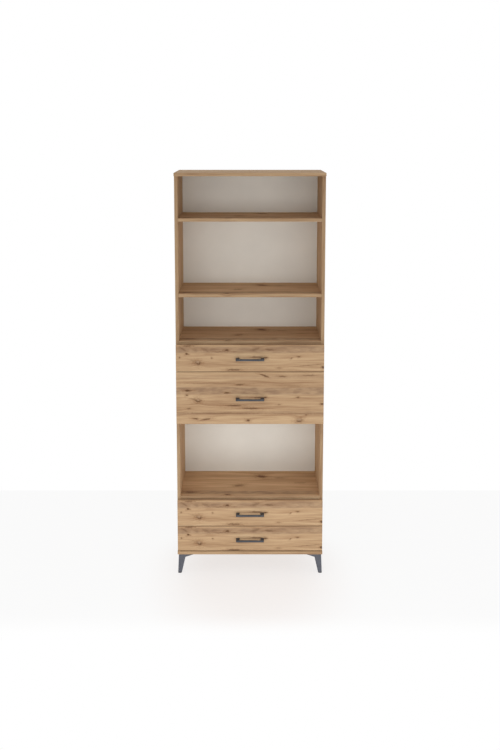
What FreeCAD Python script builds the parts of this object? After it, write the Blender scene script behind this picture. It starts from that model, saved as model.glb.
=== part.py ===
import FreeCAD, Part
import os
import re
import Sketcher
from FreeCAD import Placement, Rotation, Vector

# Tall open bookcase of melamine boards on four folded steel legs, with four drawers on telescopic slides.
# Millimetres. +Z is up, -Y is the front, and the origin is on the floor under the middle of the bookcase.

# Driving dimensions, one named value for each size that can be set by itself.
SIZES = {
    # Carcass
    "width": 750,
    "carcass_depth": 330,
    "board": 16,
    "back_sheet": 3,
    "back_margin": 3,
    "back_joint": 1,
    "leg_height": 102,
    "panel_lip": 4,
    "shelf_play": 0.5,
    "edge_round": 1,
    # Clear heights of the open compartments and heights of the drawer fronts
    "upper_compartment": 210,
    "middle_compartment": 365,
    "lower_compartment": 225,
    "niche_height": 394,
    "small_front_height": 137,
    "tall_front_height": 271,
    "bottom_front_height": 132,
    # Drawer fronts
    "front_thickness": 16,
    "front_gap": 3,
    "front_drop": 2,
    "side_reveal": 1,
    "bumper_gap": 2,
    # Handles
    "handle_spacing": 128,
    "handle_end": 8,
    "handle_post": 18,
    "handle_bar": 5,
    "handle_height": 10,
    "handle_reach": 30,
    "handle_drop": 2,
    "handle_corner": 3,
    "handle_chamfer": 1,
    # Drawer boxes
    "slide_space": 13,
    "drawer_board": 12,
    "box_depth": 300,
    "small_box_height": 90,
    "tall_box_height": 200,
    "box_lift": 32,
    "drawer_bottom": 3,
    "bottom_inset": 10,
    "groove_depth": 6,
    "groove_play": 0.2,
    # Telescopic slides
    "slide_length": 300,
    "slide_height": 45,
    "slide_sheet": 1.2,
    "slide_play": 0.3,
    "slide_rise": 45,
    "slide_setback": 4,
    "rail_flange": 9.5,
    "middle_offset": 3.4,
    "middle_flange": 7.6,
    "runner_flange": 8,
    # Shelf pins
    "pin_diameter": 5,
    "pin_length": 16,
    "pin_setback": 40,
    "pin_play": 0.1,
    # Legs and glides
    "leg_inset": 5.5,
    "leg_splay": 3.8,
    "leg_sheet": 2.5,
    "leg_lip": 7,
    "leg_wing": 84,
    "leg_knee_drop": 16,
    "leg_knee_wing": 34.6,
    "leg_foot_wing": 20,
    "leg_bend": 3,
    "leg_plate_nose": 16,
    "glide_height": 6,
    "glide_toe": 16,
    # Wall brackets
    "bracket_spacing": 400,
    "bracket_width": 40,
    "bracket_foot": 22,
    "bracket_leg": 18,
    "bracket_sheet": 2,
    "bracket_bend": 1.5,
    "wall_hole_drop": 10.5,
    "wall_hole_diameter": 5.5,
    # How far a cutting tool starts outside the piece that it cuts
    "cut_overrun": 1,
}

# Places and fits that follow from the driving dimensions.
PLACES = {
    "inner_half": "width / 2 - board",
    "carcass_y": "(handle_reach + front_thickness + bumper_gap - carcass_depth - back_sheet) / 2",
    "back_y": "carcass_y + carcass_depth",
    "front_back_y": "carcass_y - bumper_gap",
    "front_y": "front_back_y - front_thickness",
    "panel_y": "front_y - panel_lip",
    "panel_depth": "back_y - panel_y",
    "panel_middle_y": "(panel_y + back_y) / 2",
    "case_z": "leg_height + board",
    "fourth_front_z": "case_z + front_gap",
    "third_front_z": "fourth_front_z + bottom_front_height + front_gap",
    "niche_floor_z": "third_front_z + small_front_height",
    "niche_ceiling_z": "niche_floor_z + board + niche_height",
    "second_front_z": "niche_ceiling_z - front_drop",
    "first_front_z": "second_front_z + tall_front_height + front_gap",
    "deck_z": "first_front_z + small_front_height",
    "lower_shelf_z": "deck_z + board + lower_compartment",
    "upper_shelf_z": "lower_shelf_z + board + middle_compartment",
    "top_z": "upper_shelf_z + board + upper_compartment",
    "back_split_z": "niche_ceiling_z + board / 2",
    "box_half": "inner_half - slide_space",
    "box_inner_half": "box_half - drawer_board",
    "box_back_y": "front_back_y + box_depth",
    "slide_y": "carcass_y + slide_setback",
    "middle_height": "slide_height - 2 * (slide_sheet + slide_play)",
    "runner_height": "middle_height - 2 * (slide_sheet + slide_play)",
    "handle_length": "handle_spacing + 2 * handle_end",
    "leg_drop": "leg_height - glide_height",
    "leg_lean": "atan(leg_splay / leg_drop)",
    "leg_slope": "(leg_wing - leg_knee_wing) / leg_knee_drop",
    "leg_hollow": "leg_wing - 2 * leg_sheet * leg_slope",
    "pin_hole": "pin_diameter + 2 * pin_play",
}

# Drawers from the top down: place of the front's lower edge, height of the front, height of the box.
DRAWERS = {
    "drawer_1": ("first_front_z", "small_front_height", "small_box_height"),
    "drawer_2": ("second_front_z", "tall_front_height", "tall_box_height"),
    "drawer_3": ("third_front_z", "small_front_height", "small_box_height"),
    "drawer_4": ("fourth_front_z", "bottom_front_height", "small_box_height"),
}

# Boards between the side panels, each with the place of its underside.
FIXED_PANELS = {"drawer_deck": "deck_z", "niche_ceiling": "niche_ceiling_z", "niche_floor": "niche_floor_z"}
LOOSE_SHELVES = {"upper_shelf": "upper_shelf_z", "lower_shelf": "lower_shelf_z"}

CARCASS_BOARDS = [
    "top_panel",
    "bottom_panel",
    "left_side_panel",
    "right_side_panel",
    "upper_back_panel",
    "lower_back_panel",
    *FIXED_PANELS,
    *LOOSE_SHELVES,
]

SIDES = {"left": -1, "right": 1}
TOUCH = 1e-6
AXES = {
    "+x": Vector(1, 0, 0),
    "-x": Vector(-1, 0, 0),
    "+y": Vector(0, 1, 0),
    "-y": Vector(0, -1, 0),
    "+z": Vector(0, 0, 1),
    "-z": Vector(0, 0, -1),
}

doc = FreeCAD.newDocument("Bookcase")
nodes = []
cutters = {}
groups = {}


# Sheets, formulas and placing

def formula(text, places="Places."):
    """Spell a formula of size and place names as an expression over the two sheets."""
    def full_name(match):
        word = match.group(0)
        return f"Sizes.{word}" if word in SIZES else f"{places}{word}"
    return re.sub(r"[a-z_]+", full_name, text)


def fill_sheet(name, cells):
    sheet = doc.addObject("Spreadsheet::Sheet", name)
    for row, (alias, text) in enumerate(cells.items(), start=1):
        sheet.set(f"A{row}", alias)
        sheet.set(f"B{row}", text)
        sheet.setAlias(f"B{row}", alias)
    doc.recompute()
    return sheet


def value(text):
    return float(sizes.evalExpression(formula(text)))


def bind(thing, **formulas):
    for name, text in formulas.items():
        thing.setExpression(name, formula(text))


def place(thing, at, axis="+z"):
    """Put a thing's own +Z along an axis, with its origin at a point given by three formulas."""
    thing.Placement = Placement(Vector(), Rotation(AXES["+z"], AXES[axis]))
    for letter, text in zip("xyz", at):
        thing.setExpression(f"Placement.Base.{letter}", formula(text))


def along(at, axis, distance):
    """The point a distance from another one along an axis."""
    moved = list(at)
    letter = "xyz".index(axis[1])
    moved[letter] = f"{moved[letter]} {axis[0]} ({distance})"
    return moved


def sideways(sign):
    return "+x" if sign > 0 else "-x"


# Bodies and their features

def origin_feature(body, role):
    return next(item for item in body.Origin.OriginFeatures if item.Role == role)


def pin_point(sketch, line, letter, text):
    """Hold a line's first point at a formula's distance from the sketch's own axes."""
    if text == "0":
        sketch.addConstraint(Sketcher.Constraint("PointOnObject", line, 1, -2 if letter == "X" else -1))
        return
    kind = f"Distance{letter}"
    index = sketch.addConstraint(Sketcher.Constraint(kind, -1, 1, line, 1, value(text)))
    sketch.renameConstraint(index, f"{letter}{line}")
    sketch.setExpression(f"Constraints.{letter}{line}", formula(text))


def outline(body, name, role, corners, offset="0"):
    """A closed outline on one of the body's own planes, through corners given as pairs of formulas."""
    sketch = body.newObject("Sketcher::SketchObject", name)
    sketch.AttachmentSupport = (origin_feature(body, role), [""])
    sketch.MapMode = "FlatFace"
    sketch.setExpression("AttachmentOffset.Base.z", formula(offset))
    points = [Vector(value(across), value(up), 0) for across, up in corners]
    count = len(points)
    for index, point in enumerate(points):
        sketch.addGeometry(Part.LineSegment(point, points[(index + 1) % count]))
    for index in range(count):
        sketch.addConstraint(Sketcher.Constraint("Coincident", index, 2, (index + 1) % count, 1))
    for index, (across, up) in enumerate(corners):
        pin_point(sketch, index, "X", across)
        pin_point(sketch, index, "Y", up)
    return sketch


def pad(body, name, sketch, length, reverse=False):
    feature = body.newObject("PartDesign::Pad", name)
    feature.Profile = sketch
    feature.Reversed = reverse
    bind(feature, Length=length)
    doc.recompute()
    return feature


def pocket(body, name, sketch, length, reverse=False):
    feature = body.newObject("PartDesign::Pocket", name)
    feature.Profile = sketch
    feature.Reversed = reverse
    bind(feature, Length=length)
    doc.recompute()
    return feature


def loft(body, name, sketches):
    feature = body.newObject("PartDesign::AdditiveLoft", name)
    feature.Profile = sketches[0]
    feature.Sections = sketches[1:]
    feature.Ruled = True
    doc.recompute()
    return feature


def dress_edges(body, name, kind, base, chosen, **size):
    """Fillet or chamfer those edges of a feature for which the test is true."""
    edges = [f"Edge{index}" for index, edge in enumerate(base.Shape.Edges, start=1) if chosen(edge)]
    feature = body.newObject(f"PartDesign::{kind}", name)
    feature.Base = (base, edges)
    bind(feature, **size)
    doc.recompute()
    return feature


def lean(body, name, base, places, angle, reverse=False):
    """Tilt those upright faces that look along x or y, at the named places, about the body's own XY plane."""
    distances = [value(text) for text in places]

    def chosen(face):
        box = face.BoundBox
        return any(
            abs(low - distance) < TOUCH and abs(high - distance) < TOUCH
            for low, high in ((box.XMin, box.XMax), (box.YMin, box.YMax))
            for distance in distances
        )
    faces = [f"Face{index}" for index, face in enumerate(base.Shape.Faces, start=1) if chosen(face)]
    feature = body.newObject("PartDesign::Draft", name)
    feature.Base = (base, faces)
    feature.NeutralPlane = (origin_feature(body, "XY_Plane"), [""])
    feature.Reversed = reverse
    bind(feature, Angle=angle)
    doc.recompute()
    return feature


def lies_on(edge, **coordinates):
    """True where both ends of an edge have the given coordinates."""
    return all(
        abs(getattr(vertex.Point, letter) - distance) < TOUCH
        for vertex in edge.Vertexes
        for letter, distance in coordinates.items()
    )


def runs_along(edge):
    """The letter of the axis that an edge mostly follows."""
    box = edge.BoundBox
    return max((box.XLength, "x"), (box.YLength, "y"), (box.ZLength, "z"))[1]


# Boards, bores and copies

def board(label, size, at, rounded=""):
    """A board from its low corner, with its front edges that run along the named axis rounded."""
    body = doc.addObject("PartDesign::Body", f"{label}_blank")
    block = body.newObject("PartDesign::AdditiveBox", f"{label}_block")
    bind(block, Length=size[0], Width=size[1], Height=size[2])
    doc.recompute()
    if rounded:
        dress_edges(
            body, f"{label}_edges", "Fillet", block,
            lambda edge: lies_on(edge, y=0) and runs_along(edge) == rounded,
            Radius="edge_round",
        )
    place(body, at)
    cutters[label] = (body, [])


def bore(label, diameter, depth, at, axis):
    """A round hole that enters a piece at a point and runs along an axis."""
    tool = doc.addObject("Part::Cylinder", f"{label}_bore")
    bind(tool, Radius=f"({diameter}) / 2", Height=f"{depth} + cut_overrun")
    place(tool, along(at, axis, "-cut_overrun"), axis)
    cutters[label][1].append(tool)


def slot(label, size, at):
    tool = doc.addObject("Part::Box", f"{label}_slot")
    bind(tool, Length=size[0], Width=size[1], Height=size[2])
    place(tool, at)
    cutters[label][1].append(tool)


def cut(label):
    """The finished piece: its blank less all its bores and slots."""
    blank, tools = cutters[label]
    if not tools:
        blank.Label = label
        return blank
    tool = tools[0]
    if len(tools) > 1:
        tool = doc.addObject("Part::MultiFuse", f"{label}_tools")
        tool.Shapes = tools
    piece = doc.addObject("Part::Cut", label)
    piece.Base = blank
    piece.Tool = tool
    return piece


def finish(label):
    nodes.append(cut(label))


def copy_of(master, at, axis="+z"):
    link = doc.addObject("App::Link", f"{master.Name}_copy")
    link.LinkedObject = master
    place(link, at, axis)
    return link


def add_to(group, master, at, axis="+z"):
    groups.setdefault(group, []).append(copy_of(master, at, axis))


def gather(group):
    node = doc.addObject("Part::Compound", group)
    node.Links = groups[group]
    nodes.append(node)


def mirrored(label, source, normal, middle="0"):
    """A piece's mirror image in the plane across an axis, at a place along that axis."""
    image = doc.addObject("Part::Mirroring", label)
    image.Source = source
    image.Normal = AXES[f"+{normal}"]
    image.setExpression(f"Base.{normal}", formula(middle))
    return image


# Carcass

def carcass_boards():
    panel_size = ("width", "panel_depth", "board")
    board("top_panel", panel_size, ("-width / 2", "panel_y", "top_z"), rounded="x")
    board("bottom_panel", panel_size, ("-width / 2", "panel_y", "leg_height"), rounded="x")
    side_size = ("board", "carcass_depth", "top_z - case_z")
    board("left_side_panel", side_size, ("-width / 2", "carcass_y", "case_z"), rounded="z")
    board("right_side_panel", side_size, ("inner_half", "carcass_y", "case_z"), rounded="z")
    for label, level in FIXED_PANELS.items():
        size = ("2 * inner_half", "carcass_depth", "board")
        board(label, size, ("-inner_half", "carcass_y", level), rounded="x")
    for label, level in LOOSE_SHELVES.items():
        size = ("2 * (inner_half - shelf_play)", "carcass_depth", "board")
        board(label, size, ("shelf_play - inner_half", "carcass_y", level), rounded="x")
    backs = {
        "upper_back_panel": ("back_split_z + back_joint / 2", "top_z + board - back_margin"),
        "lower_back_panel": ("leg_height + back_margin", "back_split_z - back_joint / 2"),
    }
    for label, (low, high) in backs.items():
        size = ("width - 2 * back_margin", "back_sheet", f"{high} - ({low})")
        board(label, size, ("back_margin - width / 2", "back_y", low))


def shelf_pins():
    """Pins that stand half in the side panels, under the four corners of each loose shelf."""
    pin = doc.addObject("Part::Cylinder", "shelf_pin")
    bind(pin, Radius="pin_diameter / 2", Height="pin_length")
    for side, sign in SIDES.items():
        for level in LOOSE_SHELVES.values():
            for y in ("carcass_y + pin_setback", "back_y - pin_setback"):
                outward = sideways(sign)
                at = (f"{sign} * inner_half", y, f"{level} - pin_diameter / 2 - pin_play")
                bore(f"{side}_side_panel", "pin_hole", "pin_length / 2", at, outward)
                add_to("shelf_pins", pin, along(at, outward, "-pin_length / 2"), outward)
    gather("shelf_pins")


# Legs, glides and wall brackets

def leg_wing(body, side, role, faces_back):
    """A leg's wing, which narrows from a gusset to the foot and is hollowed to a thin sheet with a lip."""
    face = outline(body, f"{side}_wing_face", role, [
        ("0", "0"),
        ("leg_wing", "0"),
        ("leg_knee_wing", "-leg_knee_drop"),
        ("leg_foot_wing - leg_splay", "-leg_drop"),
        ("0", "-leg_drop"),
    ])
    pad(body, f"{side}_wing", face, "leg_lip", reverse=faces_back)
    hollow = outline(body, f"{side}_hollow_face", role, [
        ("leg_sheet", "-leg_sheet"),
        ("leg_hollow", "-leg_sheet"),
        ("leg_knee_wing - leg_sheet", "leg_sheet - leg_knee_drop"),
        ("leg_foot_wing - leg_splay - leg_sheet", "-leg_drop"),
        ("leg_sheet", "-leg_drop"),
    ], "-leg_sheet" if faces_back else "leg_sheet")
    return hollow


def front_left_leg():
    """A folded steel leg: a mounting plate and two lipped wings with a rounded bend between them."""
    body = doc.addObject("PartDesign::Body", "leg_blank")
    plate = outline(body, "leg_plate", "XY_Plane", [
        ("0", "0"),
        ("leg_wing", "0"),
        ("leg_wing", "leg_plate_nose"),
        ("leg_plate_nose", "leg_wing"),
        ("0", "leg_wing"),
    ])
    pad(body, "leg_plate_pad", plate, "leg_sheet", reverse=True)
    front_hollow = leg_wing(body, "front", "XZ_Plane", True)
    side_hollow = leg_wing(body, "side", "YZ_Plane", False)
    pocket(body, "front_hollow", front_hollow, "leg_lip - leg_sheet")
    upright = pocket(body, "side_hollow", side_hollow, "leg_lip - leg_sheet", reverse=True)
    outside = lean(body, "outer_lean", upright, ["0"], "leg_lean")
    splayed = lean(body, "inner_lean", outside, ["leg_sheet", "leg_lip"], "leg_lean", reverse=True)
    dress_edges(
        body, "leg_fold", "Fillet", splayed,
        lambda edge: all(abs(end.X - end.Y) < TOUCH and end.X < TOUCH for end in edge.Vertexes),
        Radius="leg_bend",
    )
    place(body, ("leg_inset - width / 2", "panel_y + leg_inset", "leg_height"))
    body.Label = "leg_front_left"
    return body


def legs():
    first = front_left_leg()
    rear = mirrored("leg_rear_left", first, "y", "panel_middle_y")
    nodes.extend([first, rear])
    nodes.append(mirrored("leg_front_right", first, "x"))
    nodes.append(mirrored("leg_rear_right", rear, "x"))


def glides():
    """A plastic toe under each leg, whose underside rises from the floor towards its inner end."""
    body = doc.addObject("PartDesign::Body", "glide")

    def toe(name, reach, height):
        corners = [
            ("leg_bend", "0"),
            (reach, "0"),
            (reach, "leg_lip"),
            ("leg_lip", reach),
            ("0", reach),
            ("0", "leg_bend"),
        ]
        return outline(body, name, "XY_Plane", corners, height)
    sole = toe("glide_sole", "glide_toe", "0")
    loft(body, "glide_shape", [sole, toe("glide_seat", "leg_foot_wing", "glide_height")])
    place(body, ("leg_inset - leg_splay - width / 2", "panel_y + leg_inset - leg_splay", "0"))
    rear = mirrored("rear_glide", body, "y", "panel_middle_y")
    node = doc.addObject("Part::Compound", "foot_glides")
    node.Links = [body, rear, mirrored("right_glide", body, "x"), mirrored("rear_right_glide", rear, "x")]
    nodes.append(node)


def wall_bracket_shape():
    """An angle under the top panel, against the back, that a wall screw goes through."""
    body = doc.addObject("PartDesign::Body", "bracket_blank")
    profile = outline(body, "bracket_profile", "YZ_Plane", [
        ("0", "0"),
        ("0", "-bracket_leg"),
        ("-bracket_sheet", "-bracket_leg"),
        ("-bracket_sheet", "-bracket_sheet"),
        ("-bracket_foot", "-bracket_sheet"),
        ("-bracket_foot", "0"),
    ])
    angle = pad(body, "bracket_pad", profile, "bracket_width")
    dress_edges(
        body, "bracket_fold", "Fillet", angle,
        lambda edge: lies_on(edge, y=0, z=0),
        Radius="bracket_bend",
    )
    place(body, ("-bracket_width / 2", "0", "0"))
    cutters["bracket"] = (body, [])
    hole = ("0", "-bracket_sheet", "-wall_hole_drop")
    bore("bracket", "wall_hole_diameter", "bracket_sheet + cut_overrun", hole, "+y")
    return cut("bracket")


def wall_brackets():
    bracket = wall_bracket_shape()
    for sign in SIDES.values():
        middle = f"{sign} * bracket_spacing / 2"
        add_to("wall_brackets", bracket, (middle, "back_y", "top_z"))
        hole = (middle, "back_y", "top_z - wall_hole_drop")
        bore("upper_back_panel", "wall_hole_diameter", "back_sheet + cut_overrun", hole, "+y")
    gather("wall_brackets")


# Telescopic slides, shaped on the left side of the carcass: x is the distance from the side panel's face

def channel(name, web, reach, height):
    """A folded channel along y from its web's outer face, with its flanges reaching to one side."""
    way = "-" if reach.startswith("-") else "+"
    body = doc.addObject("PartDesign::Body", f"{name}_blank")
    half = f"{height} / 2"
    tip = f"{web} {reach}" if way == "-" else f"{web} + {reach}"
    wall = f"{web} {way} slide_sheet"
    section = outline(body, f"{name}_section", "XZ_Plane", [
        (web, f"-{half}"),
        (tip, f"-{half}"),
        (tip, f"slide_sheet - {half}"),
        (wall, f"slide_sheet - {half}"),
        (wall, f"{half} - slide_sheet"),
        (tip, f"{half} - slide_sheet"),
        (tip, half),
        (web, half),
    ])
    fold = pad(body, f"{name}_pad", section, "slide_length", reverse=True)
    dress_edges(
        body, f"{name}_bends", "Fillet", fold,
        lambda edge: lies_on(edge, x=value(web)) and runs_along(edge) == "y",
        Radius="slide_sheet",
    )
    body.Label = name
    return body


def slide_members():
    """The three members by name, each with its left-hand shape and right-hand image."""
    shapes = {
        "rails": channel("slide_rail", "0", "rail_flange", "slide_height"),
        "middle_slides": channel("slide_middle", "middle_offset", "middle_flange", "middle_height"),
        "runners": channel("slide_runner", "slide_space", "-runner_flange", "runner_height"),
    }
    pairs = {}
    for name, shape in shapes.items():
        pairs[name] = {"left": shape, "right": mirrored(f"{shape.Name}_right", shape, "x")}
    return pairs


def slides(label, level):
    height = f"{level} + box_lift + slide_rise"
    for name, pair in members.items():
        for side, sign in SIDES.items():
            add_to(f"{label}_{name}", pair[side], (f"{sign} * inner_half", "slide_y", height))
        gather(f"{label}_{name}")


# Drawers

def handle(label, height):
    """A bar with two square posts, its outer edges broken by a chamfer."""
    half = "handle_length / 2"
    grip = "handle_bar - handle_reach"
    name = f"{label}_handle"
    body = doc.addObject("PartDesign::Body", f"{name}_blank")
    plan = outline(body, f"{name}_plan", "XY_Plane", [
        (f"-{half}", "0"),
        (f"-{half}", "-handle_reach"),
        (half, "-handle_reach"),
        (half, "0"),
        (f"{half} - handle_post", "0"),
        (f"{half} - handle_post", grip),
        (f"handle_post - {half}", grip),
        (f"handle_post - {half}", "0"),
    ])
    bar = pad(body, f"{name}_pad", plan, "handle_height")
    reach = -value("handle_reach")
    corners = dress_edges(
        body, f"{name}_corners", "Fillet", bar,
        lambda edge: lies_on(edge, y=reach) and runs_along(edge) == "z",
        Radius="handle_corner",
    )
    dress_edges(
        body, f"{name}_chamfers", "Chamfer", corners,
        lambda edge: lies_on(edge, y=reach) and runs_along(edge) == "x",
        Size="handle_chamfer",
    )
    place(body, ("0", "front_y", f"{height} - handle_drop - handle_height / 2"))
    body.Label = name
    nodes.append(body)


def drawer_boards(label, level, front_height, box_height):
    low = f"{level} + box_lift"
    floor = f"{low} + bottom_inset"
    groove_height = "drawer_bottom + groove_play"
    front_size = ("width - 2 * side_reveal", "front_thickness", front_height)
    board(f"{label}_front", front_size, ("side_reveal - width / 2", "front_y", level), rounded="x")
    groove_half = "(box_inner_half + groove_depth)"
    slot(
        f"{label}_front",
        (f"2 * {groove_half}", "groove_depth + cut_overrun", groove_height),
        (f"-{groove_half}", "front_back_y - groove_depth", floor),
    )
    for side, sign in SIDES.items():
        name = f"{label}_{side}_side"
        x = "box_inner_half" if sign > 0 else "-box_half"
        board(name, ("drawer_board", "box_depth", box_height), (x, "front_back_y", low))
        inner = "box_inner_half - cut_overrun" if sign > 0 else f"-{groove_half}"
        slot(
            name,
            ("groove_depth + cut_overrun", "box_depth + 2 * cut_overrun", groove_height),
            (inner, "front_back_y - cut_overrun", floor),
        )
    board(
        f"{label}_back",
        ("2 * box_inner_half", "drawer_board", f"{box_height} - bottom_inset - drawer_bottom"),
        ("-box_inner_half", "box_back_y - drawer_board", f"{floor} + drawer_bottom"),
    )
    board(
        f"{label}_bottom",
        (f"2 * ({groove_half} - groove_play)", "box_depth + groove_depth - groove_play", "drawer_bottom"),
        (f"groove_play - {groove_half}", "front_back_y - groove_depth + groove_play", floor),
    )


def drawer(label, level, front_height, box_height):
    drawer_boards(label, level, front_height, box_height)
    handle(label, f"{level} + {front_height} / 2")
    slides(label, level)
    for piece in ("front", "left_side", "right_side", "back", "bottom"):
        finish(f"{label}_{piece}")


# Checking and writing

def check():
    for item in doc.Objects:
        if "Invalid" in item.State or "Error" in item.State:
            raise RuntimeError(f"{item.Label} is in state {item.State}")
    for node in nodes:
        if node.Shape.isNull() or not node.Shape.isValid() or not node.Shape.Solids:
            raise RuntimeError(f"{node.Label} has no valid solid")


def write():
    os.makedirs("parts", exist_ok=True)
    for node in nodes:
        node.Shape.exportStep(f"parts/{node.Label}.step")


sizes = fill_sheet("Sizes", {alias: str(size) for alias, size in SIZES.items()})
fill_sheet("Places", {alias: "=" + formula(text, places="") for alias, text in PLACES.items()})

members = slide_members()

carcass_boards()
shelf_pins()
wall_brackets()
for label, row in DRAWERS.items():
    drawer(label, *row)
for label in CARCASS_BOARDS:
    finish(label)
legs()
glides()
doc.recompute()
check()
write()
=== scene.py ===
import math
from collections import namedtuple

import bpy
from mathutils import Color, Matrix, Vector


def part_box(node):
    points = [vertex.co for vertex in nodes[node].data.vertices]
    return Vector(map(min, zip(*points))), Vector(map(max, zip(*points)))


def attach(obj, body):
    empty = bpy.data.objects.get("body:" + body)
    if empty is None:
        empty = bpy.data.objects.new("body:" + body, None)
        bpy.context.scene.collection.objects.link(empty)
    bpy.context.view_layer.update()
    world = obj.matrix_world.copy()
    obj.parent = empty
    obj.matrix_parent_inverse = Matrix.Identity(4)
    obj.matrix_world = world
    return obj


# A tall bookcase with drawers: oak-look boards, a pale back, dark legs and handles, in a white studio.
# Metres, +Z up and -Y to the front, as in the frame. Patterns on the pieces are laid out in millimetres.

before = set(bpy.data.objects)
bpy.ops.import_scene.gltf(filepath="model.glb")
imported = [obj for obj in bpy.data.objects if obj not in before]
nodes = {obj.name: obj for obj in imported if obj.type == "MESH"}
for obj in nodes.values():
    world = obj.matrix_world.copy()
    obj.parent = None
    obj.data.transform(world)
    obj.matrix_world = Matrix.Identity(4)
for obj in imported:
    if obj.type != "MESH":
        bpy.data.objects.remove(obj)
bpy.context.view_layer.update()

MM = 0.001
WHITE = (1, 1, 1, 1)
DRAWERS = ("drawer_1", "drawer_2", "drawer_3", "drawer_4")
SIDES = {"left": -1, "right": 1}
ENDS = {"front": -1, "rear": 1}


# Colours and node trees

def paint(red, green, blue):
    """A screen colour of 0 to 255 as the linear colour that a shader takes."""
    screen = Color((red / 255, green / 255, blue / 255))
    return (*screen.from_srgb_to_scene_linear(), 1)


class Graph:
    """A node tree with one short call for each kind of node, which returns the node's output."""

    def __init__(self, tree):
        self.tree = tree

    def feed(self, socket, source):
        if isinstance(source, bpy.types.NodeSocket):
            self.tree.links.new(source, socket)
        else:
            socket.default_value = source

    def node(self, kind, *sources, **settings):
        """A node whose first inputs take the sources in their order."""
        node = self.tree.nodes.new(f"ShaderNode{kind}")
        for name, setting in settings.items():
            setattr(node, name, setting)
        for socket, source in zip(node.inputs, sources):
            self.feed(socket, source)
        return node

    def math(self, operation, first, second=0.0):
        return self.node("Math", first, second, operation=operation).outputs[0]

    def add(self, first, second):
        return self.math("ADD", first, second)

    def subtract(self, first, second):
        return self.math("SUBTRACT", first, second)

    def times(self, first, second):
        return self.math("MULTIPLY", first, second)

    def larger(self, first, second):
        return self.math("MAXIMUM", first, second)

    def length(self, first, second):
        """The length of a line that goes so far along one axis and so far along the other."""
        return self.math("SQRT", self.add(self.times(first, first), self.times(second, second)))

    def smooth(self, value, low, high):
        """0 at low and 1 at high, with a soft step between them."""
        return self.node("MapRange", value, low, high, interpolation_type="SMOOTHSTEP").outputs[0]

    def vector(self, x, y, z):
        return self.node("CombineXYZ", x, y, z).outputs[0]

    def axes(self, vector):
        """The three parts of a vector by axis letter."""
        return dict(zip("xyz", self.node("SeparateXYZ", vector).outputs))

    def noise(self, vector, detail=2.0, roughness=0.5):
        node = self.node("TexNoise", vector)
        self.feed(node.inputs["Scale"], 1.0)
        self.feed(node.inputs["Detail"], detail)
        self.feed(node.inputs["Roughness"], roughness)
        return node.outputs[0]

    def mix(self, share, first, second):
        node = self.node("Mix", share, data_type="RGBA")
        self.feed(node.inputs[6], first)
        self.feed(node.inputs[7], second)
        return node.outputs[2]

    def ramp(self, value, stops):
        node = self.node("ValToRGB", value)
        elements = node.color_ramp.elements
        while len(elements) < len(stops):
            elements.new(1.0)
        for element, (position, colour) in zip(elements, stops):
            element.position = position
            element.color = colour
        return node.outputs[0]

    def brighten(self, colour, value):
        return self.node("HueSaturation", 0.5, 1.0, value, 1.0, colour).outputs[0]

    def bump(self, height, strength, distance):
        node = self.node("Bump")
        self.feed(node.inputs["Height"], height)
        self.feed(node.inputs["Strength"], strength)
        self.feed(node.inputs["Distance"], distance)
        return node.outputs[0]

    def coordinate(self, name):
        """A texture coordinate of the piece by axis letter."""
        return self.axes(self.node("TexCoord").outputs[name])

    def places(self):
        """The point on the piece at rest, in millimetres, by axis letter."""
        return {axis: self.times(part, 1 / MM) for axis, part in self.coordinate("Object").items()}

    def grain(self, *sizes, detail=2.0, roughness=0.5):
        """Noise on the piece, whose size in millimetres is given once or for each axis."""
        lengths = sizes if len(sizes) == 3 else 3 * sizes
        parts = [self.times(part, 1 / length) for part, length in zip(self.places().values(), lengths)]
        return self.noise(self.vector(*parts), detail, roughness)


def link(name, data):
    """A new object of the scene."""
    made = bpy.data.objects.new(name, data)
    bpy.context.scene.collection.objects.link(made)
    return made


def surface(name, values=None):
    """A new material, its tree and its shader, with the shader's uniform values set."""
    material = bpy.data.materials.new(name)
    material.use_nodes = True
    shader = material.node_tree.nodes["Principled BSDF"]
    for socket, value in (values or {}).items():
        shader.inputs[socket].default_value = value
    return material, Graph(material.node_tree), shader


# A finish: its least roughness, how much its grain adds to that, and the strength and depth of its bump.
Finish = namedtuple("Finish", "roughness spread strength depth")
OAK_FINISH = Finish(0.5, 0.16, 0.12, 0.2 * MM)
SHEET_FINISH = Finish(0.45, 0.2, 0.08, 0.1 * MM)
COAT_FINISH = Finish(0.36, 0.2, 0.15, 0.1 * MM)
ZINC_FINISH = Finish(0.26, 0.18, 0.06, 0.05 * MM)
PLASTIC_FINISH = Finish(0.4, 0.2, 0.12, 0.1 * MM)


def apply_finish(graph, shader, finish, colour, grain, relief):
    """The colour, a roughness that follows the grain and a bump that follows the relief."""
    graph.feed(shader.inputs["Base Color"], colour)
    graph.feed(shader.inputs["Roughness"], graph.add(graph.times(grain, finish.spread), finish.roughness))
    graph.feed(shader.inputs["Normal"], graph.bump(relief, finish.strength, finish.depth))


# Oak figure

PALE = paint(208, 177, 140)
MIDDLE = paint(189, 156, 121)
DEEP = paint(166, 132, 101)
LINE = paint(142, 106, 77)
HEART = paint(146, 118, 95)
HALO = paint(138, 98, 66)
BARK = paint(94, 66, 49)
EYE = paint(174, 144, 116)

# A pattern drawn out along the grain: its length and width in millimetres, its detail and its roughness.
Figure = namedtuple("Figure", "length width detail roughness", defaults=(2, 0.5))
WANDER = Figure(300, 60)
RAGGED = Figure(12, 4.5, 2, 0.6)
BROAD = Figure(700, 30)
STREAK = Figure(240, 9, 3, 0.6)
FINE = Figure(170, 2.6, 3, 0.6)
FIBRE = Figure(38, 0.9)
PATCH = Figure(46, 16)

# Streaks: the colours over their noise, the share of broad and narrow ones in it, and fine dark lines.
STREAK_COLOURS = [(0.35, DEEP), (0.48, MIDDLE), (0.65, PALE)]
BROAD_SHARE = 0.4
NARROW_SHARE = 0.6
LINE_REACH = (0.54, 0.76)
LINE_SHARE = 0.5
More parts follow.
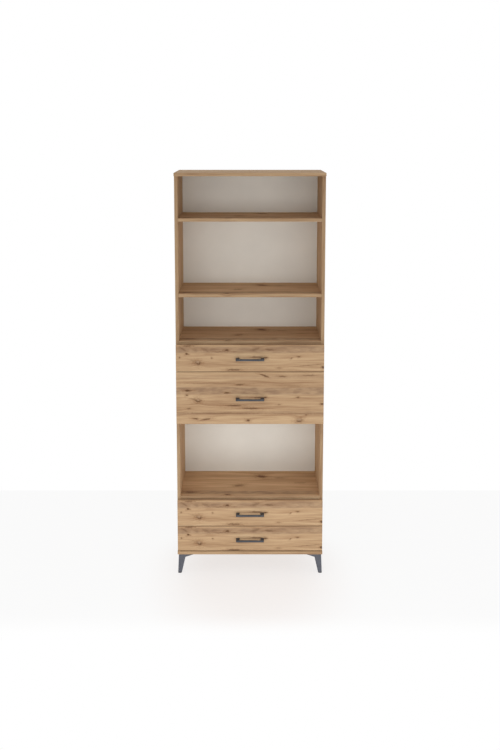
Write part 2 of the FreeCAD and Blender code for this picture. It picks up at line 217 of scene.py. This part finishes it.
# How far the grain and the heartwood sway to the sides, in millimetres.
GRAIN_SWAY = 30
HEART_SWAY = 18
NOISE_MIDDLE = 0.5
# How far apart two seeds lie in the pattern, in millimetres.
SEED_STEP = 100
# The board's own gloss, the share of the fibre in its brightness, and the rest of its brightness.
OAK_SPECULAR = 0.03
FIBRE_SHARE = 0.16
PLAIN_SHARE = 0.92

# A knot or dark streak: its place along and across the grain, its size, how dark it is, and its tilt.
# A hollow one is a dark ring round a dull eye.
Knot = namedtuple("Knot", "along across length width dark slope hollow", defaults=(1.0, 0.0, 0.0))

# Places from the middle of the board and down from the front's upper edge.
SMALL_FRONT = [
    Knot(-314, 5, 56, 9, 0.6),
    Knot(-336, 22, 34, 10, 0.35, 0.6),
    Knot(-320, 46, 15, 10, 0.95),
    Knot(-355, 65, 9, 7, 0.55),
    Knot(-117, 26, 24, 9, 0.9),
    Knot(-262, 91, 32, 24, 0.8, 0.0, 1.0),
    Knot(-280, 25, 28, 20, 0.18, 0.4),
    Knot(-232, 22, 48, 18, 0.26, 0.35),
    Knot(-188, 20, 32, 14, 0.16),
    Knot(-284, 82, 46, 9, 0.25, 0.3),
    Knot(-193, 67, 9, 8, 0.55),
    Knot(246, 60, 18, 9, 0.65),
    Knot(208, 70, 12, 7, 0.45, -0.5),
    Knot(368, 115, 15, 11, 0.85),
    Knot(-80, 128, 74, 9, 0.75),
    Knot(34, 62, 76, 10, 0.55),
    Knot(78, 65, 20, 10, 0.85),
    Knot(147, 118, 26, 7, 0.45),
    Knot(300, 104, 170, 4, 0.4, -0.09),
    Knot(-150, 36, 120, 8, 0.35),
    Knot(30, 20, 60, 12, 0.35, -0.25),
    Knot(100, 24, 50, 9, 0.45, 0.1),
]
TALL_FRONT = [
    Knot(64, 14, 40, 8, 0.7, 0.3),
    Knot(78, 20, 30, 8, 0.85, 0.3),
    Knot(164, 22, 42, 8, 0.55),
    Knot(300, 17, 80, 9, 0.4),
    Knot(-190, 58, 330, 6, 0.3, 0.01),
    Knot(-53, 65, 46, 8, 0.65),
    Knot(224, 73, 90, 10, 0.25),
    Knot(-317, 96, 40, 9, 0.85),
    Knot(-320, 120, 14, 8, 0.8),
    Knot(-117, 108, 26, 9, 0.85),
    Knot(-264, 148, 34, 20, 0.85, 0.15, 1.0),
    Knot(-288, 141, 44, 8, 0.35, 0.2),
    Knot(243, 131, 18, 8, 0.65),
    Knot(366, 166, 18, 10, 0.95),
    Knot(-81, 174, 90, 8, 0.75),
    Knot(4, 189, 110, 9, 0.65, 0.02),
    Knot(-309, 190, 22, 9, 0.5),
    Knot(-150, 214, 420, 8, 0.35),
    Knot(250, 217, 260, 7, 0.3),
    Knot(-278, 243, 34, 8, 0.75, 0.1),
    Knot(-224, 246, 52, 10, 0.7, -0.2),
    Knot(-10, 252, 22, 11, 0.85),
    Knot(250, 252, 34, 22, 0.8, -0.1, 1.0),
    Knot(285, 223, 11, 8, 0.65),
    Knot(147, 169, 22, 7, 0.4),
    Knot(40, 132, 66, 9, 0.6),
    Knot(78, 131, 20, 9, 0.8),
]
# Places from the middle of the board and forward from its rear edge.
SHELF = [
    Knot(62, 76, 60, 38, 0.8, 0.25),
    Knot(160, 96, 70, 16, 0.4),
    Knot(-60, 196, 54, 30, 0.55, -0.2),
    Knot(-312, 281, 72, 24, 0.6),
    Knot(-116, 312, 30, 14, 0.85),
    Knot(270, 160, 80, 14, 0.35),
]

# Grey-brown heartwood: where a band starts and ends across the grain, and how strong it is.
SMALL_HEARTS = [(8, 40, 0.75)]
TALL_HEARTS = [(80, 116, 0.8), (206, 222, 0.45), (14, 34, 0.3)]
SHELF_HEARTS = [(262, 306, 0.9), (60, 90, 0.35)]
# Where a band of it begins and is full at its start and at its end, and how mottled it is.
HEART_START = (-4, 5)
HEART_END = (5, -6)
MOTTLE_REACH = (0.3, 0.7)
MOTTLE_SHARE = 0.6

# Where a knot's marks begin and where they are full, as shares of its half size.
CORE_REACH = (1.15, 0.4)
HALO_REACH = (2.6, 0.6)
EYE_REACH = (0.75, 0.3)
# How a knot's outline frays, how far its eye sits above its middle, and how it pushes the grain aside.
FRAY = 2.3
FRAY_START = -0.15
EYE_LIFT = 0.34
PUSH_FADE = -0.22
PUSH_SHARE = 0.35
# How strong the halo and the eye are, and how deep a core lies against the fibre.
HALO_SHARE = 0.5
EYE_SHARE = 0.8
CORE_DENT = -1.5

# Knots at random: the room for each along, across and through the board, and which of them are drawn.
WILD_ROOM = (330, 95, 300)
WILD_CHANCE = (0.6, 0.66)
WILD_CORE = (0.05, 0.02)
WILD_HALO = (0.13, 0.03)

# What the knots give: dark cores, brown halos and dull eyes, and the flow of the grain round them.
Marks = namedtuple("Marks", "core halo eye flow")


def knot_group():
    """A group that gives one knot's dark core, brown halo and dull eye, and its push on the grain."""
    tree = bpy.data.node_groups.new("oak_knot", "ShaderNodeTree")
    graph = Graph(tree)
    board_names = ("Along", "Across", "Rough")
    knot_names = ("Knot Along", "Knot Across", "Length", "Width", "Slope", "Hollow")
    for name in board_names + knot_names:
        tree.interface.new_socket(name, in_out="INPUT", socket_type="NodeSocketFloat")
    for name in ("Core", "Halo", "Eye", "Push"):
        tree.interface.new_socket(name, in_out="OUTPUT", socket_type="NodeSocketFloat")
    given = tree.nodes.new("NodeGroupInput").outputs
    result = tree.nodes.new("NodeGroupOutput").inputs

    along = graph.subtract(given["Along"], given["Knot Along"])
    leaning = graph.times(along, given["Slope"])
    across = graph.subtract(graph.subtract(given["Across"], given["Knot Across"]), leaning)
    far_along = graph.math("DIVIDE", graph.times(along, 2), given["Length"])
    far_across = graph.math("DIVIDE", graph.times(across, 2), given["Width"])
    frayed = graph.add(graph.times(given["Rough"], FRAY), FRAY_START)
    away = graph.length(far_along, far_across)
    from_core = graph.times(away, frayed)
    from_eye = graph.times(graph.length(far_along, graph.add(far_across, EYE_LIFT)), frayed)
    eye = graph.times(graph.smooth(from_eye, *EYE_REACH), given["Hollow"])
    core = graph.times(graph.smooth(from_core, *CORE_REACH), graph.subtract(1.0, eye))
    fading = graph.math("EXPONENT", graph.times(graph.times(away, away), PUSH_FADE))
    push = graph.times(graph.times(far_across, fading), graph.times(given["Width"], PUSH_SHARE))

    graph.feed(result["Core"], core)
    graph.feed(result["Halo"], graph.smooth(from_core, *HALO_REACH))
    graph.feed(result["Eye"], eye)
    graph.feed(result["Push"], push)
    return tree


KNOT = knot_group()


class Grain:
    """A board's directions in millimetres: along the grain, across it from a start, and through it."""

    def __init__(self, graph, grain, across, start, toward, seed):
        place = graph.places()
        through = next(axis for axis in "xyz" if axis not in (grain, across))
        self.graph = graph
        self.along = place[grain]
        self.across = graph.times(graph.subtract(place[across], start / MM), toward)
        self.through = graph.add(place[through], seed * SEED_STEP)
        self.turn = graph.times(edge_band(graph, grain), graph.subtract(self.across, self.along))
        self.run = graph.add(self.along, self.turn)

    def draw(self, figure, flow):
        """Noise drawn out along the grain, which runs along the banding on the ends of the board."""
        graph = self.graph
        point = graph.vector(
            graph.times(self.run, 1 / figure.length),
            graph.times(graph.subtract(flow, self.turn), 1 / figure.width),
            graph.times(self.through, 1 / figure.width),
        )
        return graph.noise(point, figure.detail, figure.roughness)


def edge_band(graph, axis):
    """1 on the edges of a board that face along the axis, and 0 elsewhere."""
    facing = 0.7
    return graph.math("GREATER_THAN", graph.math("ABSOLUTE", graph.coordinate("Normal")[axis]), facing)


def draw_knots(board, knots, flow):
    """The marks of the listed knots."""
    graph = board.graph
    rough = board.draw(RAGGED, board.across)
    core = halo = eye = 0.0
    for knot in knots:
        given = (board.along, board.across, rough, *knot[:4], knot.slope, knot.hollow)
        drawn = graph.node("Group", node_tree=KNOT)
        for socket, value in zip(drawn.inputs, given):
            graph.feed(socket, value)
        core = graph.larger(core, graph.times(drawn.outputs["Core"], knot.dark))
        halo = graph.larger(halo, graph.times(drawn.outputs["Halo"], HALO_SHARE * knot.dark))
        if knot.hollow:
            eye = graph.larger(eye, drawn.outputs["Eye"])
        flow = graph.add(flow, drawn.outputs["Push"])
    return Marks(core, halo, eye, flow)


def wild_knots(board, flow, seed):
    """The marks of knots strewn at random, for boards with no list of their own."""
    graph = board.graph
    along, across, through = WILD_ROOM
    cells = graph.node("TexVoronoi", graph.vector(
        graph.times(board.along, 1 / along),
        graph.times(flow, 1 / across),
        graph.add(graph.times(board.through, 1 / through), seed),
    ))
    graph.feed(cells.inputs["Scale"], 1.0)
    chance = graph.node("SeparateColor", cells.outputs["Color"]).outputs[0]
    chosen = graph.smooth(chance, *WILD_CHANCE)
    core = graph.times(graph.smooth(cells.outputs["Distance"], *WILD_CORE), chosen)
    halo = graph.times(graph.smooth(cells.outputs["Distance"], *WILD_HALO), chosen)
    return Marks(core, halo, 0.0, flow)


def plain_oak(board, flow, fine):
    """Pale, middle and deep streaks with fine dark lines."""
    graph = board.graph
    broad = graph.times(board.draw(BROAD, flow), BROAD_SHARE)
    narrow = graph.times(board.draw(STREAK, flow), NARROW_SHARE)
    colour = graph.ramp(graph.add(broad, narrow), STREAK_COLOURS)
    lines = graph.times(graph.smooth(fine, *LINE_REACH), LINE_SHARE)
    return graph.mix(lines, colour, LINE)


def add_hearts(board, colour, hearts, sway):
    """Bands of mottled heartwood over the colour."""
    graph = board.graph
    bent = graph.add(board.across, graph.times(sway, HEART_SWAY))
    patches = graph.smooth(board.draw(PATCH, board.across), *MOTTLE_REACH)
    mottled = graph.add(graph.times(patches, MOTTLE_SHARE), 1 - MOTTLE_SHARE)
    for low, high, strength in hearts:
        starting = graph.smooth(bent, *(low + step for step in HEART_START))
        ending = graph.smooth(bent, *(high + step for step in HEART_END))
        band = graph.times(graph.times(starting, ending), strength)
        colour = graph.mix(graph.times(band, mottled), colour, HEART)
    return colour


def add_marks(graph, colour, marks):
    """Halos, eyes and cores of the knots over the colour."""
    colour = graph.mix(marks.halo, colour, HALO)
    colour = graph.mix(graph.times(marks.eye, EYE_SHARE), colour, EYE)
    return graph.mix(marks.core, colour, BARK)


def oak(name, grain, across, start=0.0, toward=1, seed=0.0, knots=(), hearts=(), tone_and_painted_light=1.0, edge_tone_and_painted_light=0.3):
    """Oak-look board: the grain runs along one axis, and places across it count from a start.
    The board's brightness is scaled by its tone, painted light and shade for the light each board gets.
    The banded edges across the grain are darker by their share, partly their own tone and partly painted
    shade, or paler as painted light where it is below 0."""
    material, graph, shader = surface(name, {"Specular IOR Level": OAK_SPECULAR})
    board = Grain(graph, grain, across, start, toward, seed)
    sway = graph.subtract(board.draw(WANDER, board.across), NOISE_MIDDLE)
    flow = graph.add(board.across, graph.times(sway, GRAIN_SWAY))
    marks = draw_knots(board, knots, flow) if knots else wild_knots(board, flow, seed)
    fine = board.draw(FINE, marks.flow)
    fibre = board.draw(FIBRE, board.across)

    colour = plain_oak(board, marks.flow, fine)
    colour = add_hearts(board, colour, hearts, sway)
    colour = add_marks(graph, colour, marks)
    # The tone scales the board's brightness: painted light and shade for the light that falls on each
    # board.
    shade = graph.add(graph.times(fibre, FIBRE_SHARE * tone_and_painted_light), PLAIN_SHARE * tone_and_painted_light)
    # The edge share darkens the banded edges, partly their own tone and partly painted shade, and paints
    # light on them where it is below 0.
    banding_and_painted_light = graph.subtract(1.0, graph.times(edge_band(graph, across), edge_tone_and_painted_light))
    colour = graph.brighten(colour, graph.times(shade, banding_and_painted_light))
    relief = graph.add(fibre, graph.times(marks.core, CORE_DENT))
    apply_finish(graph, shader, OAK_FINISH, colour, fine, relief)
    return material


# Sheet, plastic and metal

# Where the darker and the lighter colour of a surface lie on its noise.
DARK_AT = 0.3
LIGHT_AT = 0.7
GREIGE = [(DARK_AT, paint(225, 223, 215)), (LIGHT_AT, paint(231, 229, 221))]
HARDBOARD = [(DARK_AT, paint(152, 117, 85)), (LIGHT_AT, paint(182, 146, 110))]

# Sizes of the patterns in millimetres, once or along each axis.
SHEET_CLOUD = 160
SHEET_FLECK = 1
HARDBOARD_FIBRE = (4, 4, 9)
COAT_CLOUD = 45
ROLLED_STREAK = (5 / 6, 60, 5 / 6)
MOULD_GRAIN = 0.6
# The share of the fleck in a sheet's brightness, and the rest of it.
FLECK_SHARE = 0.06
UNFLECKED_SHARE = 0.97


def greige(name, bare_back=False):
    """Pale coated board with a faint fleck. With a bare back, it is hardboard coated in front only."""
    material, graph, shader = surface(name)
    cloud = graph.grain(SHEET_CLOUD, detail=3)
    fleck = graph.grain(SHEET_FLECK, roughness=0.6)
    shade = graph.add(graph.times(fleck, FLECK_SHARE), UNFLECKED_SHARE)
    colour = graph.brighten(graph.ramp(cloud, GREIGE), shade)
    if bare_back:
        to_the_front = -0.5
        fibres = graph.grain(*HARDBOARD_FIBRE, detail=5, roughness=0.7)
        turned_away = graph.math("GREATER_THAN", graph.coordinate("Normal")["y"], to_the_front)
        colour = graph.mix(turned_away, colour, graph.ramp(fibres, HARDBOARD))
    apply_finish(graph, shader, SHEET_FINISH, colour, fleck, fleck)
    return material


def coated_metal(name, dark, light, grit):
    """Powder-coated metal with a fine orange peel of the given grit in millimetres."""
    material, graph, shader = surface(name, {"Metallic": 0.15})
    peel = graph.grain(grit, detail=3, roughness=0.6)
    cloud = graph.grain(COAT_CLOUD)
    colour = graph.ramp(cloud, [(0.35, dark), (0.65, light)])
    apply_finish(graph, shader, COAT_FINISH, colour, peel, peel)
    return material


def plated_steel(name, light, dark):
    """Zinc-plated steel, streaked along the way it was rolled."""
    material, graph, shader = surface(name, {"Metallic": 1.0})
    streak = graph.grain(*ROLLED_STREAK, detail=3, roughness=0.6)
    colour = graph.ramp(streak, [(DARK_AT, dark), (LIGHT_AT, light)])
    apply_finish(graph, shader, ZINC_FINISH, colour, streak, streak)
    return material


def moulded_plastic(name, dark, light):
    """Plastic with the fine grain of its mould."""
    material, graph, shader = surface(name)
    grain = graph.grain(MOULD_GRAIN, detail=3, roughness=0.6)
    colour = graph.ramp(grain, [(DARK_AT, dark), (LIGHT_AT, light)])
    apply_finish(graph, shader, PLASTIC_FINISH, colour, grain, grain)
    return material


# Materials on the CAD nodes

def clothe(node, material):
    """The material in the only slot of a CAD node."""
    mesh = nodes[node].data
    mesh.materials.clear()
    mesh.materials.append(material)


def dress_panels():
    """The top and bottom panel, with the grain from side to side, and the sides, with it upright."""
    # Both panels are darker overall as painted shade, and their front edges are less dark than the
    # default as painted light.
    for label, seed, edge_tone_and_painted_light in (("top_panel", 3.3, 0.15), ("bottom_panel", 4.3, 0.12)):
        clothe(label, oak(f"oak_{label}", "x", "y", seed=seed, tone_and_painted_light=0.92, edge_tone_and_painted_light=edge_tone_and_painted_light))
    for number, side in enumerate(SIDES):
        clothe(f"{side}_side_panel", oak(f"oak_{side}_side", "z", "y", seed=7.1 + number))


def dress_shelves():
    """The loose shelves and the fixed boards. All are lighter as painted light, the niche floor most, and
    the fixed boards' front edges are darker as painted shade of the drawer fronts.
    """
    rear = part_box("drawer_deck")[1].y
    shelves = ("upper_shelf", "lower_shelf", "drawer_deck", "niche_ceiling", "niche_floor")
    for number, label in enumerate(shelves):
        clothe(label, oak(
            f"oak_{label}", "x", "y", rear, -1,
            seed=11.0 + number,
            knots=SHELF,
            hearts=SHELF_HEARTS,
            # Painted light: the boards are lighter, the niche floor most.
            tone_and_painted_light=1.18 if label == "niche_floor" else 1.1,
            # Painted shade: the fixed boards' front edges are darker, as in the shadow of the drawer
            # fronts.
            edge_tone_and_painted_light=0.3 if label.endswith("shelf") else 0.45,
        ))


def dress_fronts():
    """The drawer fronts: three alike and a tall one. The upper one of each pair has its top and bottom
    faces paler as painted light, and the lower one has them darker as painted shade in the gap above it.
    """
    for label in DRAWERS:
        front = f"{label}_front"
        tall = label == "drawer_2"
        clothe(front, oak(
            f"oak_{front}", "x", "z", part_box(front)[1].z, -1,
            seed=20.0 + tall,
            knots=TALL_FRONT if tall else SMALL_FRONT,
            hearts=TALL_HEARTS if tall else SMALL_HEARTS,
            # The tone darkens the fronts, partly their own colour and partly painted shade.
            tone_and_painted_light=0.88,
            # Painted light on the upper fronts' top and bottom faces, painted shade on the lower fronts'
            # faces.
            edge_tone_and_painted_light=-0.2 if label in ("drawer_1", "drawer_3") else 0.3,
        ))


def dress_the_rest():
    """Back sheets, drawer boxes, slides, handles, legs, glides, brackets and pins."""
    sheet = greige("greige_back", bare_back=True)
    for label in ("upper_back_panel", "lower_back_panel"):
        clothe(label, sheet)
    box_board = greige("greige_drawer_board")
    steel = plated_steel("zinc_slides", paint(206, 208, 211), paint(176, 178, 182))
    handle = coated_metal("handle_coat", paint(55, 57, 62), paint(63, 65, 71), 0.5)
    for label in DRAWERS:
        for part in ("left_side", "right_side", "back", "bottom"):
            clothe(f"{label}_{part}", box_board)
        for part in ("rails", "middle_slides", "runners"):
            clothe(f"{label}_{part}", steel)
        clothe(f"{label}_handle", handle)
    leg = coated_metal("leg_coat", paint(77, 80, 88), paint(86, 88, 97), 0.7)
    for end in ENDS:
        for side in SIDES:
            clothe(f"leg_{end}_{side}", leg)
    clothe("foot_glides", moulded_plastic("black_plastic", paint(34, 34, 37), paint(46, 46, 50)))
    clothe("wall_brackets", coated_metal("bracket_coat", paint(176, 167, 157), paint(186, 177, 167), 0.5))
    clothe("shelf_pins", steel)


# Screws, cams, nails and the strip between the back sheets

def head(radius, height, recess=0.0, turns=16):
    """Vertices and faces of a domed head that faces +Z, with a cross recess of the given depth."""
    ring_shares = [(1.0, -0.1), (1.0, 0.35), (0.86, 0.8), (0.55, 1.0), (0.25, 1.0)]
    recessed_share = 0.6
    vertices = []
    for out_share, up_share in ring_shares:
        for turn in range(turns):
            angle = math.tau * turn / turns
            sunk = recess if turn % 4 == 0 and out_share < recessed_share else 0.0
            out = radius * out_share
            vertices.append((out * math.cos(angle), out * math.sin(angle), height * up_share - sunk))
    middle = len(vertices)
    vertices.append((0, 0, height - recess))
    faces = [list(reversed(range(turns)))]
    for turn in range(turns):
        following = (turn + 1) % turns
        for ring in range(len(ring_shares) - 1):
            low = ring * turns
            high = low + turns
            faces.append([low + turn, low + following, high + following, high + turn])
        faces.append([middle - turns + turn, middle - turns + following, middle])
    return vertices, faces


SCREW = head(4 * MM, 2 * MM, 1.2 * MM)
FLAT_SCREW = head(4 * MM, 1.2 * MM, 0.9 * MM)
HANDLE_SCREW = head(4.5 * MM, 2.4 * MM, 1.5 * MM)
CAM = head(7.5 * MM, 0.6 * MM, 1.8 * MM)
NAIL = head(2.6 * MM, 0.9 * MM, turns=12)


def piece(name, body, material, vertices, faces):
    """A mesh of its own that rides on a body."""
    sharp = math.radians(35)
    mesh = bpy.data.meshes.new(name)
    mesh.from_pydata(vertices, [], faces)
    mesh.shade_smooth()
    mesh.set_sharp_from_angle(angle=sharp)
    mesh.materials.append(material)
    made = link(name, mesh)
    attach(made, body)


def fasten(name, body, material, shape, places):
    """Copies of one head in one piece, each at a point and facing away from the board there."""
    vertices, faces = [], []
    for point, facing in places:
        turned = Vector(facing).to_track_quat("Z", "Y").to_matrix()
        first = len(vertices)
        vertices += [Vector(point) + turned @ Vector(corner) for corner in shape[0]]
        faces += [[first + corner for corner in face] for face in shape[1]]
    piece(name, body, material, vertices, faces)


def middle_of(node):
    low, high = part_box(node)
    return (low + high) / 2


def spread(low, high, pitch):
    """Even places from low to high, no further apart than the pitch."""
    gaps = math.ceil((high - low) / pitch)
    return [low + (high - low) * step / gaps for step in range(gaps + 1)]


def leg_screws(steel):
    """Three screws up through each leg's plate into the bottom panel."""
    sheet = 2.5 * MM
    near = 18 * MM
    far = 68 * MM
    nose = 36 * MM
    places = []
    for end, ahead in ENDS.items():
        for side, away in SIDES.items():
            low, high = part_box(f"leg_{end}_{side}")
            corner_x = low.x if away < 0 else high.x
            corner_y = low.y if ahead < 0 else high.y
            for x, y in ((far, near), (near, far), (nose, nose)):
                places.append(((corner_x - away * x, corner_y - ahead * y, high.z - sheet), (0, 0, -1)))
    fasten("leg_screws", "carcass", steel, SCREW, places)


def bracket_screws(steel):
    """Two screws up through each wall bracket's foot into the top panel."""
    sheet = 2 * MM
    half_width = 20 * MM
    half_spacing = 11 * MM
    from_back = 13 * MM
    low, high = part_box("wall_brackets")
    places = []
    for middle in (low.x + half_width, high.x - half_width):
        for x in (middle - half_spacing, middle + half_spacing):
            places.append(((x, high.y - from_back, high.z - sheet), (0, 0, -1)))
    fasten("bracket_screws", "carcass", steel, SCREW, places)


def carcass_cams(steel):
    """Cam locks that draw the fixed boards and the bottom panel to the sides."""
    from_side = 34 * MM
    from_edge = 50 * MM
    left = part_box("left_side_panel")[1].x
    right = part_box("right_side_panel")[0].x
    deck_low, deck_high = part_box("drawer_deck")
    levels = [
        (deck_low.z, -1),
        (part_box("niche_ceiling")[1].z, 1),
        (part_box("niche_floor")[0].z, -1),
    ]
    on_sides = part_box("bottom_panel")[1].z + from_side
    places = []
    for y in (deck_low.y + from_edge, deck_high.y - from_edge):
        for level, facing in levels:
            places += [((x, y, level), (0, 0, facing)) for x in (left + from_side, right - from_side)]
        places += [((left, y, on_sides), (1, 0, 0)), ((right, y, on_sides), (-1, 0, 0))]
    fasten("carcass_cams", "carcass", steel, CAM, places)


def handle_screws(label, steel):
    """Two screws behind the front, in line with the handle's posts."""
    post_middle = 8 * MM
    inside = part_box(f"{label}_front")[1].y
    low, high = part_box(f"{label}_handle")
    level = middle_of(f"{label}_handle").z
    places = [((x, inside, level), (0, 1, 0)) for x in (low.x + post_middle, high.x - post_middle)]
    fasten(f"{label}_handle_screws", label, steel, HANDLE_SCREW, places)


def drawer_fasteners(label, steel):
    """Cams that hold the front to the drawer's sides, and screws from the sides into its back."""
    cam_setback = 24 * MM
    cam_inset = 22 * MM
    screw_inset = 11 * MM
    back = middle_of(f"{label}_back").y
    cams, screws = [], []
    for side, away in SIDES.items():
        low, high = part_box(f"{label}_{side}_side")
        outer, inner = (low.x, high.x) if away < 0 else (high.x, low.x)
        for level in (low.z + cam_inset, high.z - cam_inset):
            cams.append(((inner, low.y + cam_setback, level), (-away, 0, 0)))
        for level in (low.z + screw_inset, high.z - screw_inset):
            screws.append(((outer, back, level), (away, 0, 0)))
    fasten(f"{label}_cams", label, steel, CAM, cams)
    fasten(f"{label}_screws", label, steel, FLAT_SCREW, screws)


def back_nails(steel):
    """Pin heads round the back sheets and along the fixed boards."""
    inset = 7 * MM
    pitch = 125 * MM
    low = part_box("lower_back_panel")[0]
    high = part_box("upper_back_panel")[1]
    left, right = low.x + inset, high.x - inset
    bottom, top = low.z + inset, high.z - inset
    rows = [bottom, top, middle_of("drawer_deck").z, middle_of("niche_floor").z]
    points = [(x, z) for z in rows for x in spread(left, right, pitch)]
    for x in (left, right):
        points += [(x, z) for z in spread(bottom, top, pitch)[1:-1]]
    places = [((x, high.y, z), (0, 1, 0)) for x, z in points]
    fasten("back_nails", "carcass", steel, NAIL, places)


def joint_strip(plastic):
    """The flat plastic strip that covers the joint between the two back sheets."""
    half = 9 * MM
    thick = 1.4 * MM
    chamfer = 1 * MM
    half_web = 0.4 * MM
    tail = 2.6 * MM
    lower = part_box("lower_back_panel")
    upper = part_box("upper_back_panel")
    middle = (lower[1].z + upper[0].z) / 2
    outline = [
        (-half_web, -tail), (-half_web, 0), (-half, 0), (-half + chamfer, thick),
        (half - chamfer, thick), (half, 0), (half_web, 0), (half_web, -tail),
    ]
    count = len(outline)
    ends = (lower[0].x, lower[1].x)
    vertices = [(x, lower[1].y + out, middle + up) for x in ends for up, out in outline]
    faces = [list(range(count)), list(reversed(range(count, 2 * count)))]
    for corner in range(count):
        following = (corner + 1) % count
        faces.append([corner, corner + count, following + count, following])
    piece("back_joint_strip", "carcass", plastic, vertices, faces)


def add_small_pieces():
    steel = plated_steel("zinc_fasteners", paint(200, 201, 203), paint(168, 170, 173))
    leg_screws(steel)
    bracket_screws(steel)
    carcass_cams(steel)
    back_nails(steel)
    for label in DRAWERS:
        handle_screws(label, steel)
        drawer_fasteners(label, steel)
    joint_strip(moulded_plastic("white_plastic", paint(203, 198, 190), paint(213, 208, 200)))


# Studio

# The floor's half size, and where its tint starts and ends with how softly it does so.
FLOOR_HALF = 30.0
TINT_FRONT = -0.64
TINT_REAR = 0.87
FRONT_SOFTNESS = 0.1
REAR_SOFTNESS = 0.005
# A patch round the bookcase, darker as painted shade and showing more of its shadow: its middle, how
# narrow it is and where it fades.
PATCH_MIDDLE = -0.22
PATCH_NARROWING = 1.3
PATCH_REACH = (0.8, 0.25)
# How much of the light that falls on the floor is seen, over the tint and more on the patch as painted
# shade.
TINT_SHARE = 0.13
PATCH_SHARE = 0.15
FLOOR_COLOURS = [(DARK_AT, paint(244, 243, 243)), (LIGHT_AT, paint(246, 245, 245))]
# The warm white of the patch is a painted reflection of the oak in the floor.
PATCH_PAINTED_REFLECTION = paint(255, 251, 249)

# The camera's lens in millimetres, its shift, its place and how many degrees it looks down.
# It has part of the photograph's downward shift, so that other views show the whole bookcase.
LENS = 41.14
SHIFT = -0.18
CAMERA_PLACE = (0, -4.37, 2.275)
LOOKING_DOWN = 7.18


def seen(graph):
    """1 for rays that show the background: straight, mirrored or through glass."""
    path = graph.node("LightPath").outputs
    direct = graph.larger(path["Is Camera Ray"], path["Is Glossy Ray"])
    return graph.larger(direct, path["Is Transmission Ray"])


def floor_material():
    """A pale tint with the object's shadow between a front and a rear limit, and white beyond them. Round
    the object it is darker as painted shade and warm as a painted reflection.
    """
    material, graph, shader = surface("studio_floor", {"Roughness": 0.6})
    place = graph.coordinate("Object")
    cloud = graph.noise(graph.vector(place["x"], place["y"], 0.0), 1)
    graph.feed(shader.inputs["Base Color"], graph.ramp(cloud, FLOOR_COLOURS))
    behind = graph.smooth(place["y"], TINT_FRONT - FRONT_SOFTNESS, TINT_FRONT + FRONT_SOFTNESS)
    before = graph.smooth(place["y"], TINT_REAR + REAR_SOFTNESS, TINT_REAR - REAR_SOFTNESS)
    inside = graph.times(behind, before)
    wide = graph.times(place["x"], PATCH_NARROWING)
    deep = graph.subtract(place["y"], PATCH_MIDDLE)
    near = graph.times(graph.smooth(graph.length(wide, deep), *PATCH_REACH), inside)
    # Round the object the white glow turns warm, a painted reflection of the oak.
    backdrop_and_painted_reflection = graph.node("Emission", graph.mix(near, WHITE, PATCH_PAINTED_REFLECTION), 1.0)
    # The patch's extra share of the lit floor is painted shade.
    shaded = graph.add(graph.times(inside, TINT_SHARE), graph.times(near, PATCH_SHARE))
    share = graph.times(graph.subtract(1.0, shaded), seen(graph))
    blend = graph.node("MixShader", share, shader.outputs[0], backdrop_and_painted_reflection.outputs[0])
    graph.feed(material.node_tree.nodes["Material Output"].inputs["Surface"], blend.outputs[0])
    return material


def studio_floor():
    half = FLOOR_HALF
    mesh = bpy.data.meshes.new("studio_floor")
    corners = [(-half, -half, 0), (half, -half, 0), (half, half, 0), (-half, half, 0)]
    mesh.from_pydata(corners, [], [(0, 1, 2, 3)])
    mesh.materials.append(floor_material())
    link("studio_floor", mesh)


def studio_world(light):
    """A white background that lights the object at the given strength."""
    world = bpy.data.worlds.new("studio")
    world.use_nodes = True
    bpy.context.scene.world = world
    graph = Graph(world.node_tree)
    background = world.node_tree.nodes["Background"]
    background.inputs["Color"].default_value = WHITE
    strength = graph.add(graph.times(seen(graph), 1.0 - light), light)
    graph.feed(background.inputs["Strength"], strength)


def softbox(name, place, target, width, height, power):
    """A broad lamp that faces a target and isn't seen itself."""
    lamp = bpy.data.lights.new(name, "AREA")
    lamp.shape = "RECTANGLE"
    lamp.size = width
    lamp.size_y = height
    lamp.energy = power
    holder = link(name, lamp)
    holder.location = place
    holder.rotation_euler = (Vector(target) - Vector(place)).to_track_quat("-Z", "Y").to_euler()
    holder.visible_camera = False


def camera():
    """The photograph's view, from straight ahead and a little above the bookcase."""
    lens = bpy.data.cameras.new("camera")
    lens.lens = LENS
    lens.shift_y = SHIFT
    holder = link("camera", lens)
    holder.location = CAMERA_PLACE
    holder.rotation_euler = (math.radians(90 - LOOKING_DOWN), 0, 0)
    bpy.context.scene.camera = holder


dress_panels()
dress_shelves()
dress_fronts()
dress_the_rest()
add_small_pieces()
studio_floor()
studio_world(light=0.68)
softbox("key", place=(0, -4.2, 1.6), target=(0, 0, 1), width=8.0, height=1.6, power=61.5)
softbox("low", place=(0, -0.9, 0.03), target=(0, 0, 0.7), width=2.0, height=0.7, power=6.5)
camera()
bpy.context.scene.view_settings.view_transform = "Standard"
